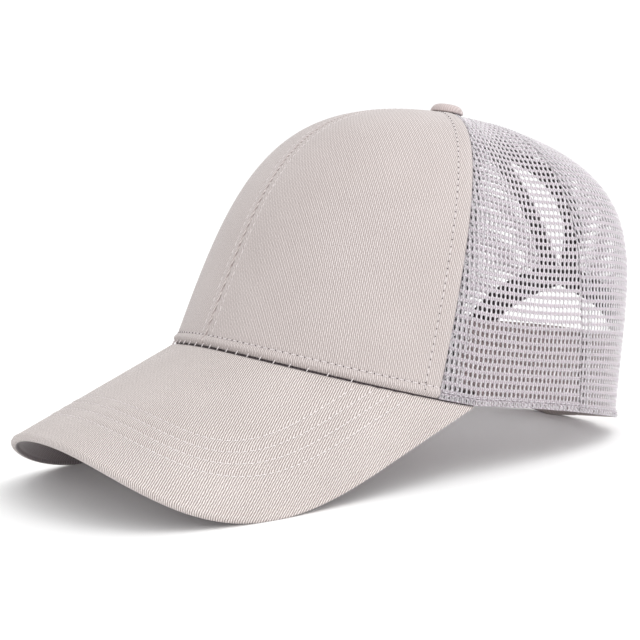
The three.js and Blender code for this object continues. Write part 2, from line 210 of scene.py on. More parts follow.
def wall(outer, inner, cloth):
    """A closed wall between an outer and an inner grid, joined round all four edges, and its flat pattern."""
    rows, columns = outer.shape[:2]
    layer = rows * columns
    ring = np.concatenate([
        np.arange(columns), np.arange(2, rows + 1) * columns - 1,
        (rows - 1) * columns + np.arange(columns - 2, -1, -1), np.arange(rows - 2, 0, -1) * columns,
    ])
    after = np.roll(ring, -1)
    rim = np.stack([ring, ring + layer, after + layer, after], -1)
    quads = np.vstack([grid_quads(rows, columns), grid_quads(rows, columns, layer, True), rim])
    points = np.vstack([outer.reshape(-1, 3), inner.reshape(-1, 3)])
    return points, quads, np.vstack([cloth.reshape(-1, 2)] * 2)


def make_piece(name, shape, material, node=None, mirror=False, smooth=True):
    """A piece from points in millimetres, four-sided faces and its flat pattern, kept as its UV map."""
    points, quads, cloth = shape
    if mirror:
        points, quads = points * (-1, 1, 1), quads[:, ::-1]
    mesh = bpy.data.meshes.new(name)
    mesh.vertices.add(len(points))
    mesh.vertices.foreach_set("co", at_rest(points).astype(np.float32).ravel())
    mesh.loops.add(quads.size)
    mesh.loops.foreach_set("vertex_index", quads.astype(np.int32).ravel())
    mesh.polygons.add(len(quads))
    mesh.polygons.foreach_set("loop_start", np.arange(0, quads.size, 4, dtype=np.int32))
    mesh.polygons.foreach_set("use_smooth", np.full(len(quads), smooth))
    pattern = mesh.uv_layers.new(name="cloth")
    pattern.data.foreach_set("uv", cloth[quads.ravel()].astype(np.float32).ravel())
    mesh.validate()
    mesh.update()
    mesh.materials.append(material)
    piece = bpy.data.objects.new(name, mesh)
    bpy.context.scene.collection.objects.link(piece)
    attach(piece, "root")
    if node:
        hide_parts(node)
    return piece


def shape_of(*shapes):
    """Several shapes put together as one."""
    starts = np.cumsum([0] + [len(points) for points, _, _ in shapes])
    return (
        np.vstack([points for points, _, _ in shapes]),
        np.vstack([quads + start for (_, quads, _), start in zip(shapes, starts)]),
        np.vstack([cloth for _, _, cloth in shapes]),
    )


def threads(starts, ends, outward, radius=0.2, lift=0.2, rings=5, sides=6):
    """Stitches between pairs of points: six-sided tubes that bow out by lift and thin to nearly nothing at
    both ends. Point = start + t (end - start) + lift sin(pi t) outward; radius times root of sin(pi t)."""
    along = ends - starts
    sideways = np.cross(unit(along), outward)
    share = np.linspace(0, 1, rings)
    bow = np.sin(np.pi * share)
    middle = starts[:, None] + along[:, None] * share[:, None]
    middle = middle + outward[:, None] * (lift * bow - 0.05)[:, None]
    size = radius * np.sqrt(np.clip(bow, 0.04, 1))
    turn = np.arange(sides) * 2 * np.pi / sides
    spoke = sideways[:, None, None] * np.cos(turn)[:, None] + outward[:, None, None] * np.sin(turn)[:, None]
    points = middle[:, :, None] + spoke * size[:, None, None]
    ring, side = np.arange(rings - 1)[:, None] * sides, np.arange(sides)
    after = (side + 1) % sides
    skin = np.stack([ring + side, ring + side + sides, ring + after + sides, ring + after], -1).reshape(-1, 4)
    cap = np.array([[0, 1, 2, 3], [0, 3, 4, 5]])
    one = np.vstack([skin, cap, cap[:, ::-1] + (rings - 1) * sides])
    quads = (one + (np.arange(len(starts)) * rings * sides)[:, None, None]).reshape(-1, 4)
    cloth = np.broadcast_to(np.stack(np.meshgrid(side * 0.1, share * 2), -1), points.shape[:3] + (2,))
    return points.reshape(-1, 3), quads, cloth.reshape(-1, 2)


def stitch_row(path, outward, length=2.5, gap=0.7, begin=0.0, **sizes):
    """A row of stitches along a path, one every length + gap of the distance run, each a length long."""
    run = lengths_along(path, 0)
    count = int((run[-1] - begin) // (length + gap))
    begin = begin + np.arange(count) * (length + gap) + gap / 2
    sample = lambda values, place: np.stack([np.interp(place, run, column) for column in values.T], -1)
    out = unit(sample(outward, begin + length / 2))
    return threads(sample(path, begin), sample(path, begin + length), out, **sizes)


def groove(distance, width):
    """A bell-shaped dip: one at no distance, nothing beyond a few widths."""
    return np.exp(-((distance / width) ** 2))


def new_group(name, inputs, outputs):
    """A shader node group with named number or vector inputs and number outputs."""
    group = bpy.data.node_groups.new(name, "ShaderNodeTree")
    for title, kind in inputs.items():
        group.interface.new_socket(title, in_out="INPUT", socket_type=kind)
    for title, kind in outputs.items():
        group.interface.new_socket(title, in_out="OUTPUT", socket_type=kind)
    return group, group.nodes.new("NodeGroupInput").outputs, group.nodes.new("NodeGroupOutput").inputs


def calculator(tree):
    """A function that adds a Math node to the tree; each value is a number or another node's output."""
    def calc(operation, *values, clamp=False):
        node = tree.nodes.new("ShaderNodeMath")
        node.operation, node.use_clamp = operation, clamp
        for socket, value in zip(node.inputs, values):
            if isinstance(value, (int, float)):
                socket.default_value = value
            else:
                tree.links.new(value, socket)
        return node.outputs[0]
    return calc


def noise(tree, vector, scale, detail=2.0):
    """A Noise node on a vector, from nothing to one."""
    node = tree.nodes.new("ShaderNodeTexNoise")
    tree.links.new(vector, node.inputs["Vector"])
    node.inputs["Scale"].default_value = scale
    node.inputs["Detail"].default_value = detail
    return node.outputs["Fac"]


# Twill: ribs across the slant, each broken into floats whose rows step by half a rib, with a little wander.
number, vector_kind = "NodeSocketFloat", "NodeSocketVector"
float_spacing, wander_scale, wander_size = 0.28, 0.35, 0.55
twill_group, given, put = new_group(
    "twill weave",
    {"Cloth": vector_kind, "Pitch": number, "Slant": number, "Dash": number},
    {"Height": number, "ShadeAndTone": number},
)
calc = calculator(twill_group)
flat = twill_group.nodes.new("ShaderNodeSeparateXYZ")
twill_group.links.new(given["Cloth"], flat.inputs[0])
cosine, sine = calc("COSINE", given["Slant"]), calc("SINE", given["Slant"])
wander = calc("SUBTRACT", noise(twill_group, given["Cloth"], wander_scale, 3.0), 0.5)
rib_place = calc("ADD", calc("MULTIPLY", flat.outputs[0], cosine), calc("MULTIPLY", flat.outputs[1], sine))
rib_place = calc("MULTIPLY_ADD", wander, wander_size, rib_place)
rib_turn = calc("MULTIPLY", calc("DIVIDE", rib_place, given["Pitch"]), 2 * np.pi)
up_part, across_part = calc("MULTIPLY", flat.outputs[1], cosine), calc("MULTIPLY", flat.outputs[0], sine)
float_place = calc("SUBTRACT", up_part, across_part)
float_turn = calc("MULTIPLY", calc("DIVIDE", float_place, given["Pitch"]), 2 * np.pi * float_spacing)
float_turn = calc("MULTIPLY_ADD", rib_turn, 0.5, float_turn)
rib, float_bump = (calc("MULTIPLY_ADD", calc("SINE", turn), 0.5, 0.5) for turn in (rib_turn, float_turn))
broken = calc("MULTIPLY_ADD", float_bump, given["Dash"], calc("SUBTRACT", 1.0, given["Dash"]))
speckle = calc("MULTIPLY_ADD", noise(twill_group, given["Cloth"], 1.6, 3.0), 0.8, -0.4)
height = calc("MULTIPLY_ADD", rib, broken, speckle)
twill_group.links.new(height, put["Height"])
# The tone output is the height plus a little random blotch: ribs and floats painted lighter and valleys
# painted darker, painted shade of the weave's relief, over real uneven tone.
blotch = calc("SUBTRACT", noise(twill_group, given["Cloth"], 0.03, 3.0), 0.5)
twill_group.links.new(calc("MULTIPLY_ADD", blotch, 0.2, height, clamp=True), put["ShadeAndTone"])


def new_material(name):
    """A material, its node tree, its shader, and the piece's flat pattern as a vector."""
    material = bpy.data.materials.new(name)
    material.use_nodes = True
    tree = material.node_tree
    pattern = tree.nodes.new("ShaderNodeUVMap")
    pattern.uv_map = "cloth"
    return material, tree, tree.nodes["Principled BSDF"], pattern.outputs[0]


def finish_cloth(tree, shader, dark, light, tone, height, depth, settings):
    """Colour between dark and light by tone, a bump by height of a depth in metres, and other settings."""
    ramp = tree.nodes.new("ShaderNodeMix")
    ramp.data_type = "RGBA"
    ramp.inputs["A"].default_value, ramp.inputs["B"].default_value = (*dark, 1), (*light, 1)
    tree.links.new(tone, ramp.inputs["Factor"])
    tree.links.new(ramp.outputs["Result"], shader.inputs["Base Color"])
    bump = tree.nodes.new("ShaderNodeBump")
    bump.inputs["Strength"].default_value, bump.inputs["Distance"].default_value = 0.6, depth
    tree.links.new(height, bump.inputs["Height"])
    tree.links.new(bump.outputs[0], shader.inputs["Normal"])
    for socket, value in settings.items():
        shader.inputs[socket].default_value = value


def cloth_material(name, dark, light, pitch, slant, depth, dash=0.3, sheen=0.3):
    """A woven cloth: twill ribs raise it by depth, in metres, and colour it between dark and light, painted
    light on the ribs and painted shade in the valleys.
    """
    material, tree, shader, pattern = new_material(name)
    weave = tree.nodes.new("ShaderNodeGroup")
    weave.node_tree = twill_group
    for socket, value in {"Pitch": pitch, "Slant": slant * degrees, "Dash": dash}.items():
        weave.inputs[socket].default_value = value
    tree.links.new(pattern, weave.inputs["Cloth"])
    settings = {"Roughness": 0.85, "Sheen Weight": sheen, "Sheen Roughness": 0.5, "Specular IOR Level": 0.25}
    finish_cloth(tree, shader, dark, light, weave.outputs["ShadeAndTone"], weave.outputs["Height"], depth, settings)
    return material


def paint(red, green, blue):
    """A screen colour from 0 to 255 as light: a share below 0.04 divided by 12.92, else a power of 2.4."""
    share = np.array([red, green, blue]) / 255
    return tuple(np.where(share <= 0.04045, share / 12.92, ((share + 0.055) / 1.055) ** 2.4))


panel_dark, panel_light = paint(158, 146, 143), paint(224, 216, 214)
panel_twill = cloth_material("panel twill", panel_dark, panel_light, 0.85, 5, 2e-4, dash=0.4)
thread_cloth = cloth_material("sewing thread", paint(214, 206, 206), paint(238, 232, 232), 0.4, 30, 4e-5)
# Dark dots at the needle holes: painted shade standing in for the holes' depth.
needle_shade_paint = cloth_material("needle hole painted shade", paint(62, 54, 58), paint(96, 86, 90), 0.4, 30, 2e-5, sheen=0)

hem_height, seam_stitch, mesh_seam_stitch = 4.6, 3.8, 7.2
fine = np.concatenate([[0, 0.1, 0.2, 0.32, 0.46, 0.62, 0.8, 1.05], np.arange(1.4, 9, 0.4)])


def front_grid():
    """Columns close together beside both seams; rows close together at the hem, fine enough for ripples."""
    across = np.concatenate([fine, np.linspace(9, 99, 44)[1:-1], 108 - fine[::-1]]) / 108
    rows = np.concatenate([np.linspace(0, 0.055, 22), np.linspace(0.055, float(top_up), 190)[1:]])
    return np.meshgrid(across, rows)


def front_cloth(across, up, depth=0.0):
    """A point of the front panel: the crown, less the centre seam's dip and its puckers, less the dip along
    the mesh seam, plus the hem's fold, each a bell of the distance from its line. Also the flat pattern."""
    start, end = seam_angle(centre_front, up), seam_angle(twill_to_mesh, up)
    angle = start + (end - start) * across
    along, rise, outward = crown_slopes(angle, up)
    points = crown_point(angle, up)
    run_up, from_seam = lengths_along(points, 0), lengths_along(points, 1)
    from_mesh = from_seam[:, -1:] - from_seam
    swell = -1.3 * groove(from_seam, 0.4) + 0.12 * groove(from_seam - 2, 1.2)
    swell += -0.16 * groove(from_seam - seam_stitch, 0.6)
    swell += 0.10 * np.sin(run_up * 2 * np.pi / 3.2) * groove(from_seam, 3.0) * np.clip(from_seam, 0, 1)
    swell += -0.55 * groove(from_mesh, 0.7) - 0.16 * groove(from_mesh - mesh_seam_stitch, 0.5)
    swell += 0.30 * groove(from_mesh - 3.2, 2.6)
    swell += 1.0 * groove(run_up - hem_height / 2, hem_height / 2.8) - 0.4 * groove(run_up - hem_height, 0.5)
    swell += -0.8 * groove(run_up, 0.8)
    swell += 0.05 * np.sin(from_seam[:1] * 2 * np.pi / 3.2) * groove(run_up - hem_height, 1.6)
    gap = np.sign(0.5 - across) * 0.04 * (groove(from_seam, 0.3) + groove(from_mesh, 0.3))
    points = points + outward * (swell - depth)[..., None] + unit(along) * gap[..., None]
    points += unit(rise) * (0.15 * groove(run_up, 1.2))[..., None]
    return points, outward, np.stack([from_seam, run_up], -1)


front_outer, front_outward, front_pattern = front_cloth(*front_grid())
front_inner = front_cloth(*front_grid(), depth=1.1)[0]
front_weave = front_pattern - front_pattern[:, front_pattern.shape[1] // 2, None] * (1, 0)
front_wall = wall(front_outer, front_inner, front_weave)


def line_on(grid, outward, pattern, across=None, up=None, side=0):
    """A line on a grid: at a distance across from the first column, or from the last if side is 1, or at a
    distance up. Each point is a weighed mean of the two grid points on either side."""
    measure = pattern[..., 0] if up is None else pattern[..., 1]
    if side:
        measure = measure[:, -1:] - measure
    if up is not None:
        grid, outward, measure = (np.swapaxes(item, 0, 1) for item in (grid, outward, measure))
    target = across if up is None else up
    order = np.argsort(measure, axis=1)
    measure = np.take_along_axis(measure, order, 1)
    place = np.sum(measure < target, axis=1).clip(1, measure.shape[1] - 1)
    row = np.arange(len(measure))
    low, high = measure[row, place - 1], measure[row, place]
    share = ((target - low) / (high - low))[:, None]
    near, far = order[row, place - 1], order[row, place]
    mean = lambda item: item[row, near] * (1 - share) + item[row, far] * share
    return mean(grid), mean(outward)


front_lines = [
    line_on(front_outer, front_outward, front_pattern, **place)
    for place in (dict(across=seam_stitch), dict(across=mesh_seam_stitch, side=1), dict(up=hem_height))
]
# The seam allowance of the peak's joint, as high as a share up the rounded crown, coloured dark behind the
# joint line as painted shade in the gap.
turn, height = np.meshgrid(np.linspace(-np.pi - corner_angle, corner_angle, 240), np.linspace(-1.2, 7, 12))
low = height / (3 * sections["front"]["rise"] * crown_depth)
allowance = wall(
    cloth_point(turn, low, 1.3), cloth_point(turn, low, 2.0), np.stack([turn * crown_half_width, height], -1)
)
allowance_painted_shade = cloth_material("joint allowance painted shade", paint(66, 58, 60), paint(96, 86, 88), 1.25, 30, 2e-4)
make_piece("joint_allowance", allowance, allowance_painted_shade)
both_sides = (("left", False), ("right", True))
for side, mirror in both_sides:
    make_piece(f"twill_front_{side}", front_wall, panel_twill, f"front_panel_{side}", mirror)
    rows = [stitch_row(*line, radius=size, lift=size) for line, size in zip(front_lines, (0.15, 0.2, 0.22))]
    make_piece(f"front_stitches_{side}", shape_of(*rows), thread_cloth, mirror=mirror)
    # The needle holes are dark dots raised a little off the cloth, their darkness painted shade.
    hole_sizes = dict(length=0.6, gap=2.6, begin=1.6, radius=0.29, lift=0.14, rings=4)
    holes = shape_of(*[stitch_row(*line, **hole_sizes) for line in front_lines[1:]])
    make_piece(f"front_needle_hole_shade_{side}", holes, needle_shade_paint, mirror=mirror)


# The mesh panels at the sides and the back.
# Knitted polyester net whose rows of D-shaped holes face left and right in turn. It is doubled along the
# twill seam and the side seam, and folded and stitched along its foot.
arch_half_width, arch_top, arch_point, crossing_share = 46.0, 0.357, 1.95, 0.05
leaf_half_width, leaf_share, leaf_lean, leaf_roundness = 9.2, 0.413, 1.45, 0.52
strap_height = 22.0
arch_foot = float(up_at_height(np.pi / 2, strap_height))
leaf_foot = arch_top + crossing_share
leaf_tip = leaf_foot + leaf_share
cell_width, cell_height, yarn = 2.36, 3.38, 0.7


def opening_half_width(up):
    """Half the opening's width at a share up the back: a pointed arch, a crossing of nothing, and a leaf."""
    in_arch = np.clip((up - arch_foot) / (arch_top - arch_foot), 0, 1)
    in_leaf = np.clip((up - leaf_foot) / (leaf_tip - leaf_foot), 0, 1)
    arch = arch_half_width * (1 - in_arch**arch_point)
    leaf = leaf_half_width * np.clip(np.sin(np.pi * in_leaf**leaf_lean), 0, 1) ** leaf_roundness
    return np.where(in_arch < 1, arch, leaf)


def angle_at_x(x, up):
    """The angle on the back where the crown lies a distance x from the middle plane."""
    x, up = np.broadcast_arrays(np.asarray(x, float), np.asarray(up, float))
    angle = root_of(lambda trial: np.abs(x) - crown_point(trial, up)[..., 0], 0 * x, 0 * x + np.pi / 2)
    return np.where(x < 0, np.pi - angle, angle)


def opening_edge(up):
    """The opening's edge as an angle, never nearer to the middle than half a seam gap."""
    return angle_at_x(np.maximum(opening_half_width(up), seam_gap / 2), up)


side_panel = (lambda up: seam_angle(twill_to_mesh, up), lambda up: seam_angle(side_to_back, up))
back_panel = (lambda up: seam_angle(side_to_back, up), opening_edge)


def panel_chart(start, end, grain):
    """How a flat panel lies on the crown. Rows are the distance up the grain line, and in each row the angle
    is read off at even distances across from the grain line."""
    ups = np.linspace(0, float(top_up), 150)
    angles = start(ups)[:, None] + (end(ups) - start(ups))[:, None] * np.linspace(0, 1, 64)
    across = lengths_along(cloth_point(angles, ups[:, None]), 1)
    whole = grain(ups)
    offset = np.array([np.interp(middle, row, run) for middle, row, run in zip(whole, angles, across)])
    beyond = np.where(whole > angles[:, -1], 1, 0)
    past = np.linalg.norm(crown_point(whole, ups) - crown_point(angles[:, -1], ups), axis=-1)
    across = across - (offset + beyond * past)[:, None]
    heights = lengths_along(cloth_point(grain(ups), ups)[None], 1)[0]
    even = np.linspace(across.min(), across.max(), 256)
    table = np.stack([np.interp(even, run, row) for run, row in zip(across, angles)])
    return dict(ups=ups, heights=heights, even=even, table=table, left=across[:, 0], right=across[:, -1])


def on_chart(chart, across, height, lift):
    """A point of the panel from its place on the flat net, raised by lift where it isn't at the panel's edge.
    The angle is the mean of the chart's four nearest entries, each weighed by how near it is."""
    table = chart["table"]
    level = np.interp(height, chart["heights"], np.arange(len(table)))
    column = np.interp(across, chart["even"], np.arange(len(table[0])))
    row_low = np.floor(level).astype(int).clip(0, len(table) - 2)
    col_low = np.floor(column).astype(int).clip(0, len(table[0]) - 2)
    row_part, col_part = level - row_low, column - col_low
    low = table[row_low, col_low] * (1 - col_part) + table[row_low, col_low + 1] * col_part
    high = table[row_low + 1, col_low] * (1 - col_part) + table[row_low + 1, col_low + 1] * col_part
    angle = low * (1 - row_part) + high * row_part
    up, left, right = (np.interp(height, chart["heights"], chart[name]) for name in ("ups", "left", "right"))
    inside = np.clip(np.minimum(across - left, right - across) / 0.3, 0, 1)
    points = cloth_point(angle, up, mesh_wall / 2)
    return points + crown_slopes(angle, up)[2] * (lift * inside)[..., None]


def net(chart, keep, lift=0.0, shift=(0.0, 0.0), hole=1.0, seed=1, crumple=0.0):
    """Net over the cells that keep says. Each cell is a ring of ten points round a D-shaped hole, a raised
    ring on both faces, and the cell's own border, so that yarns are round and meet the next cell's."""
    columns = np.arange(-30, 31) * cell_width + shift[0]
    rows = np.arange(0, 60) * cell_height + cell_height / 2 + shift[1]
    across, height = (item.ravel() for item in np.meshgrid(columns, rows))
    turn = np.where(np.round((height - shift[1]) / cell_height - 0.5) % 2, 1.0, -1.0)
    left, right = (np.interp(height, chart["heights"], chart[name]) for name in ("left", "right"))
    inside = (across + cell_width / 2 > left) & (across - cell_width / 2 < right)
    inside &= (height < chart["heights"][-1]) & keep(across - left, right - across, height)
    across, height, turn = across[inside], height[inside], turn[inside]
    half_w, half_h, third = cell_width / 2, cell_height / 2, cell_width / 6
    border = np.array([
        (half_w, 0), (half_w, half_h), (third, half_h), (-third, half_h), (-half_w, half_h),
        (-half_w, 0), (-half_w, -half_h), (-third, -half_h), (third, -half_h), (half_w, -half_h),
    ])
    bearing = np.arctan2(border[:, 1] / half_h, border[:, 0] / half_w)
    hole_x = np.cos(bearing) * np.where(np.cos(bearing) > 0, 1.0, 0.58) * half_w * 0.88
    hole_y = np.sign(np.sin(bearing)) * np.abs(np.sin(bearing)) ** 0.9 * half_h * 0.58
    hole_shape = np.stack([hole_x, hole_y], -1)
    wobble = np.random.default_rng(seed).normal(0, 0.05, (len(across), 1, 2))
    flipped = np.stack([turn, 0 * turn + 1], -1)[:, None]
    hole_ring = hole_shape * hole * flipped * (1 + wobble)
    order = np.where(turn[:, None] > 0, np.arange(10), (5 - np.arange(10)) % 10)
    hole_ring = np.take_along_axis(hole_ring, order[..., None], 1)
    border_ring = np.broadcast_to(border, hole_ring.shape)
    raised_ring = hole_ring * 0.45 + border_ring * 0.55
    rings = np.stack([hole_ring, raised_ring, border_ring, raised_ring, border_ring], 1)
    lifts = np.array([0, 0.5, 0.38, -0.5, -0.38]) * yarn
    place = rings + np.stack([across, height], -1)[:, None, None]
    crease = np.sin(2.1 * place[..., 0] + 2 * np.sin(1.3 * place[..., 1])) * np.sin(0.9 * place[..., 0])
    raise_by = lift + np.broadcast_to(lifts[:, None], place.shape[:3]) + crumple * crease
    points = on_chart(chart, place[..., 0], np.clip(place[..., 1], 0, chart["heights"][-1]), raise_by)
    point, after = np.arange(10), (np.arange(10) + 1) % 10
    band = lambda a, b: np.stack([a * 10 + point, b * 10 + point, b * 10 + after, a * 10 + after], -1)
    one = np.vstack([band(0, 1), band(1, 2), band(0, 3)[:, ::-1], band(3, 4)[:, ::-1]])
    quads = (one + (np.arange(len(points)) * 50)[:, None, None]).reshape(-1, 4)
    points, pattern = points.reshape(-1, 3), (place - shift).reshape(-1, 2)
    _, first, same = np.unique(np.round(points, 3), axis=0, return_index=True, return_inverse=True)
    points, pattern, quads = points[first], pattern[first], same.ravel()[quads]
    corners = points[quads]
    area = np.linalg.norm(np.cross(corners[:, 2] - corners[:, 0], corners[:, 3] - corners[:, 1]), axis=-1)
    distinct = (np.diff(np.sort(quads, axis=1), axis=1) > 0).all(axis=1)
    return points, quads[(area > 0.004) & distinct], pattern


def net_material(name, dark, light):
    """Shiny filament yarn: fine twisted stripes of tone and bump, the tone partly painted sheen, and uprights
    painted lighter than the bars as painted highlight and painted shade.
    """
    material, tree, shader, pattern = new_material(name)
    calc = calculator(tree)
    grain = noise(tree, tree.nodes.new("ShaderNodeTexCoord").outputs["Object"], 2600, 2.0)
    flat = tree.nodes.new("ShaderNodeSeparateXYZ")
    tree.links.new(pattern, flat.inputs[0])
    # Uprights painted lighter than the bars: painted highlight on the raised yarn, painted shade on the
    # recessed bars.
    from_bar = calc("PINGPONG", flat.outputs[1], cell_height / 2)
    upright_highlight = calc("MULTIPLY_ADD", from_bar, 0.6, 0.1, clamp=True)
    # Twist and grain stripes: in the tone partly real variation and partly painted sheen of the filaments, in
    # the bump real relief.
    zigzag = calc("MULTIPLY", calc("PINGPONG", flat.outputs[1], cell_height), 3.2)
    twist = calc("SINE", calc("MULTIPLY_ADD", flat.outputs[0], 4 * np.pi / cell_width, zigzag))
    twist_sheen_streaks = calc("MULTIPLY_ADD", twist, 0.42, calc("MULTIPLY_ADD", grain, 1.2, -0.6))
    settings = {
        "Roughness": 0.5, "Subsurface Weight": 0.8, "Subsurface Radius": (1, 1, 1), "Subsurface Scale": 0.002,
        "Transmission Weight": 0.3, "IOR": 1.12, "Sheen Weight": 0.2, "Specular IOR Level": 0.4,
    }
    tone = calc("ADD", twist_sheen_streaks, upright_highlight, clamp=True)
    finish_cloth(tree, shader, dark, light, tone, twist_sheen_streaks, 2.2e-4, settings)
    return material


# The dark end is the painted shade of the bars, the light end the painted highlight white of the uprights.
net_yarn = net_material("net yarn", paint(194, 181, 190), paint(255, 250, 255))
side_chart = panel_chart(*side_panel, lambda up: (side_panel[0](up) + side_panel[1](up)) / 2)
back_chart = panel_chart(*back_panel, lambda up: (back_panel[0](up) + np.pi / 2) / 2)
doubled, mesh_hem = 8.0, 3.2
everywhere = lambda left, right, height: left < 1e9
half_cell, hem_shift = (cell_width / 2, 0.0), (0.8, -0.9)


def net_layers(chart, doubling, seed):
    """A panel's net: one layer all over, a second beside its first seam, and a crumpled one at its foot."""
    beside = lambda left, right, height: left < doubling
    at_foot = lambda left, right, height: height < mesh_hem
    return shape_of(
        net(chart, everywhere, seed=seed),
        net(chart, beside, -0.75, half_cell, 1.1, seed + 1),
        net(chart, at_foot, 0.45, hem_shift, 1.15, seed + 3, 0.6),
    )


def net_line(chart, inset=None, foot=None, lift=0.45):
    """A line on the net, an inset from its first seam or a height above its foot, and its outward unit."""
    side_at = lambda name, height: np.interp(height, chart["heights"], chart[name])
    if foot is None:
        height = np.linspace(1, chart["heights"][-1] - 1, 400)
        across = side_at("left", height) + inset
        inside = across < side_at("right", height) - 1
        across, height = across[inside], height[inside]
    else:
        across = np.linspace(side_at("left", foot), side_at("right", foot), 300)[2:-2]
        height = np.full(len(across), foot)
    path = on_chart(chart, across, height, np.full(len(across), lift))
    return path, on_chart(chart, across, height, np.full(len(across), lift + 1)) - path


side_net, back_net = net_layers(side_chart, doubled, 1), net_layers(back_chart, doubled, 11)
net_thread = net_material("net thread", paint(226, 220, 226), paint(252, 250, 254))
seam_rows = shape_of(
    stitch_row(*net_line(side_chart, doubled), length=1.5, gap=0.15, radius=0.3, lift=0.15),
    stitch_row(*net_line(side_chart, 1.2), length=1.5, gap=0.3, radius=0.25, lift=0.15),
    stitch_row(*net_line(side_chart, foot=3.0, lift=0.9), radius=0.2, lift=0.25),
    stitch_row(*net_line(back_chart, doubled * 0.6), length=1.5, gap=0.15, radius=0.25, lift=0.15),
    stitch_row(*net_line(back_chart, foot=3.0, lift=0.9), radius=0.2, lift=0.25),
)


def seam_tape(seam, low, high):
    """A flat tape inside the crown along a seam, from low to high across it, from the rim to the top."""
    heights, places = np.linspace(0.5, side_chart["heights"][-1] - 1, 220), np.linspace(low, high, 12)
    height, place = np.meshgrid(heights, places, indexing="ij")
    up = np.interp(height, side_chart["heights"], side_chart["ups"])
    per_radian = np.linalg.norm(crown_slopes(seam_angle(seam, up), up)[0], axis=-1)
    angle = seam_angle(seam, up) + place / per_radian
    middle, out = crown_point(angle, up), crown_slopes(angle, up)[2]
    return wall(middle - out * 1.75, middle - out * 2.1, np.stack([place, height], -1))


seam_cloth = cloth_material("seam tape", paint(56, 51, 56), paint(92, 85, 90), 1.1, 45, 1.5e-4)
make_piece("seam_tape_front", seam_tape(centre_front, -6, 6), seam_cloth)
seam_shape = seam_tape(twill_to_mesh, -5, 4.6)
for side, mirror in both_sides:
    make_piece(f"seam_tape_{side}", seam_shape, seam_cloth, mirror=mirror)
    make_piece(f"net_side_{side}", side_net, net_yarn, f"side_mesh_{side}", mirror)
    make_piece(f"net_back_{side}", back_net, net_yarn, f"back_mesh_{side}", mirror)
    make_piece(f"net_seam_stitches_{side}", seam_rows, net_thread, mirror=mirror)


# The opening's binding tapes.
# Dark woven tape sewn on the inside of the back net, round the arch and the leaf, side by side above them.
tape_width, tape_wall, tape_past_leaf = 11.0, 1.0, 0.55
tape_top = leaf_tip + (float(top_up) - leaf_tip) * tape_past_leaf
tape_limit = 35 * degrees


def tape_outer_x(up):
    """The tape's outer edge: the outline of circles of the tape's width, centred along the opening's edge."""
    places = np.linspace(arch_foot, tape_top, 400)
    run = lengths_along(crown_point(np.pi / 2, places), 0)
    length = np.interp(up, places, run)
    away = np.minimum(np.abs(run - length[..., None]) / tape_width, 1)
    edge = np.maximum(opening_half_width(places), seam_gap / 2)
    return np.max(np.where(away < 1, edge + tape_width * np.sqrt(1 - away**2), 0), axis=-1)


def above_strap(angle, up):
    """The share up, lifted at the arch's foot to clear the strap's top edge at that angle."""
    return np.where(up <= arch_foot + 1e-6, up_at_height(angle, strap_height + layer_gap), up)


def tape_surface(across, up, depth):
    """The tape from its outer edge to the opening: a straight share across, a depth inside the net's face."""
    edge = np.maximum(opening_half_width(up), seam_gap / 2)
    outer = np.minimum(tape_outer_x(up), crown_point(tape_limit, up)[..., 0])
    x = outer + (edge - outer) * across
    angle = angle_at_x(x, up)
    place = above_strap(angle, up)
    return cloth_point(angle, place, depth), crown_slopes(angle, place)[2]


tape_rows = np.unique(np.concatenate([
    np.linspace(arch_foot, arch_top, 60), np.linspace(arch_top, leaf_foot, 12),
    np.linspace(leaf_foot, leaf_tip, 60), np.linspace(leaf_tip, tape_top, 14),
]))
tape_across, tape_up = np.meshgrid(np.linspace(0, 1, 12), tape_rows)
tape_depth = mesh_wall + layer_gap
rolled = 0.3 * groove(tape_across, 0.06) + 0.3 * groove(1 - tape_across, 0.06)
tape_outer, tape_out = tape_surface(tape_across, tape_up, tape_depth + rolled)
tape_inner, _ = tape_surface(tape_across, tape_up, tape_depth + tape_wall - rolled)
tape = wall(tape_outer, tape_inner, grid_pattern(tape_outer))
tape_rows_sewn = [
    stitch_row(tape_inner[:-1, column], -tape_out[:-1, column], radius=0.16, lift=0.1) for column in (2, 10)
]
tape_cloth = cloth_material("binding tape", paint(58, 50, 54), paint(92, 82, 88), 1.1, 45, 1.5e-4, sheen=0.15)
tape_thread = cloth_material("tape thread", paint(96, 88, 92), paint(130, 120, 124), 0.4, 30, 4e-5)
for side, mirror in both_sides:
    make_piece(f"binding_tape_{side}", tape, tape_cloth, f"opening_tape_{side}", mirror)
    make_piece(f"tape_stitches_{side}", shape_of(*tape_rows_sewn), tape_thread, mirror=mirror)


# The opening's edge on the outside.
# The net is turned in along the arch and the leaf and sewn down to the tape with one row of stitches.
fold_width = 2.6
fold_across, fold_up = np.meshgrid(np.linspace(0, 1, 9), tape_rows)
fold_edge = np.maximum(opening_half_width(fold_up), seam_gap / 2)
fold_x = np.minimum(fold_edge + fold_width * (1 - fold_across), tape_outer_x(fold_up))
fold_angle = angle_at_x(fold_x, fold_up)
fold_place = above_strap(fold_angle, fold_up)
fold_round = 0.45 * np.sqrt(np.clip(1 - (2 * fold_across - 1) ** 2, 0, 1))
fold_outer = cloth_point(fold_angle, fold_place, 0.1 - fold_round)
fold = wall(fold_outer, cloth_point(fold_angle, fold_place, 0.9), grid_pattern(fold_outer))
fold_out = crown_slopes(fold_angle, fold_place)[2]
fold_row = stitch_row(fold_outer[:-1, 4], fold_out[:-1, 4], radius=0.16, lift=0.12)
fold_cloth = cloth_material("folded net", paint(176, 167, 174), paint(222, 215, 221), 0.9, 60, 4e-4)
for side, mirror in both_sides:
    make_piece(f"opening_fold_{side}", fold, fold_cloth, mirror=mirror)
    make_piece(f"opening_stitches_{side}", fold_row, thread_cloth, mirror=mirror)


